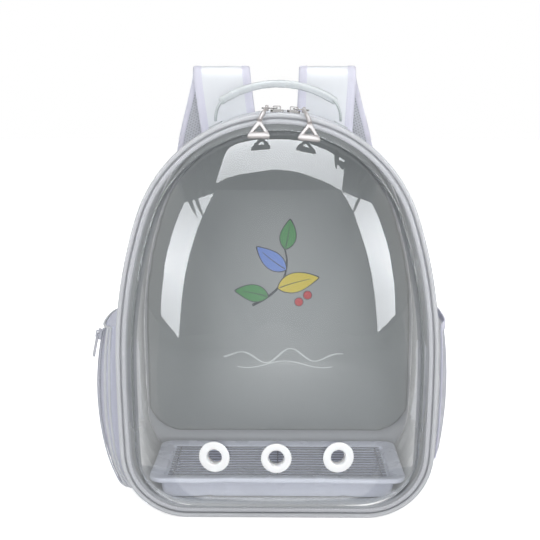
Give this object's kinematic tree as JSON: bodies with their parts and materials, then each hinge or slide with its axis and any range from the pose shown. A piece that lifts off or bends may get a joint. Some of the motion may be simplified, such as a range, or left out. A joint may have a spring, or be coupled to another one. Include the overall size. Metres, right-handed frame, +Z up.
{
  "type": "bird travel carrier",
  "caption": "Backpack bird carrier: fabric body, zipped front door with a clear vented dome, lift-out tray with wire floor, side pockets, top handle and shoulder straps.",
  "frame": {"origin": "middle of the base, on the surface the carrier stands on", "axes": "+X to the right seen from the front, the door faces -Y, +Z up"},
  "size_m": [0.3797, 0.3072, 0.474],
  "materials": {
    "body_fabric": "satin",
    "lining": "matte",
    "back_lining": "matte",
    "piping": "satin",
    "mesh": "matte",
    "pocket_fabric": "satin",
    "zip_tape": "matte",
    "webbing": "matte",
    "strap_fabric": "satin",
    "back_mesh": "matte",
    "clear_shell": "gloss",
    "white_rubber": "satin",
    "tray_plastic": "satin",
    "grid_wire": "satin",
    "slider_metal": "satin",
    "pull_plastic": "satin",
    "buckle_plastic": "satin",
    "board": "matte"
  },
  "bodies": {
    "carrier": {"gusset_band": "body_fabric", "back_board": "lining", "rear_piping": "piping", "floor_board": "board", "back_lining_panel": "back_lining", "mesh_window_left": "mesh", "mesh_window_right": "mesh", "body_zip_tape": "zip_tape", "left_pocket": "pocket_fabric", "left_pocket_zip": "zip_tape", "right_pocket": "mesh", "right_pocket_hem": "piping", "handle_anchors": "body_fabric", "back_pads": "back_mesh", "strap_yoke": "body_fabric", "strap_left": "strap_fabric", "strap_right": "strap_fabric", "strap_anchors": "body_fabric", "webbing_left": "webbing", "webbing_right": "webbing", "ladder_lock_left": "buckle_plastic", "ladder_lock_right": "buckle_plastic"},
    "door": {"door_frame": "body_fabric", "door_piping": "piping", "door_binding": "piping", "dome": "clear_shell", "vent_rings": "white_rubber", "door_zip_tape": "zip_tape", "hinge_strip": "zip_tape"},
    "left_slider": {"slider_left": "slider_metal"},
    "right_slider": {"slider_right": "slider_metal"},
    "left_pull": {"pull_left": "pull_plastic"},
    "right_pull": {"pull_right": "pull_plastic"},
    "handle": {"handle_grip": "strap_fabric", "handle_tabs": "webbing"},
    "tray": {"tray": "tray_plastic"},
    "grid": {"grid_bars": "grid_wire", "grid_cross_wires": "grid_wire"},
    "pocket_slider": {"left_pocket_slider": "slider_metal"},
    "pocket_pull": {"left_pocket_pull": "pull_plastic"}
  },
  "joints": [
    {"name": "door_hinge", "type": "hinge", "parent": "carrier", "child": "door", "pos_m": [0, -0.088, 0.001], "axis": [1, 0, 0], "range_deg": [0, 32]},
    {"name": "left_slider_travel", "type": "hinge", "parent": "door", "child": "left_slider", "pos_m": [0, -0.077, 0.27], "axis": [0, -1, 0], "range_deg": [0, 60]},
    {"name": "right_slider_travel", "type": "hinge", "parent": "door", "child": "right_slider", "pos_m": [0, -0.077, 0.27], "axis": [0, 1, 0], "range_deg": [0, 55]},
    {"name": "left_pull_swing", "type": "hinge", "parent": "left_slider", "child": "left_pull", "pos_m": [-0.01041, -0.0822, 0.42437], "axis": [-1, 0, -0.0033], "range_deg": [0, 110]},
    {"name": "right_pull_swing", "type": "hinge", "parent": "right_slider", "child": "right_pull", "pos_m": [0.02639, -0.0822, 0.42245], "axis": [-0.9942, 0, 0.1072], "range_deg": [0, 110]},
    {"name": "handle_swing", "type": "hinge", "parent": "carrier", "child": "handle", "pos_m": [0, 0.03, 0.41641], "axis": [1, 0, 0], "range_deg": [-65, 65], "stiffness_Nm_per_rad": 0.012},
    {"name": "tray_lift", "type": "slide", "parent": "carrier", "child": "tray", "axis": [0, 0, 1], "range_m": [0, 0.06]},
    {"name": "grid_lift", "type": "slide", "parent": "tray", "child": "grid", "axis": [0, 0, 1], "range_m": [0, 0.03]},
    {"name": "pocket_slider_travel", "type": "hinge", "parent": "carrier", "child": "pocket_slider", "pos_m": [0.12513, -0.04514, 0.125], "axis": [0, -1, 0], "range_deg": [0, 16]},
    {"name": "pocket_pull_swing", "type": "hinge", "parent": "pocket_slider", "child": "pocket_pull", "pos_m": [-0.19028, -0.04663, 0.1871], "axis": [-0.4067, 0.9101, 0.0801], "range_deg": [0, 85]}
  ]
}
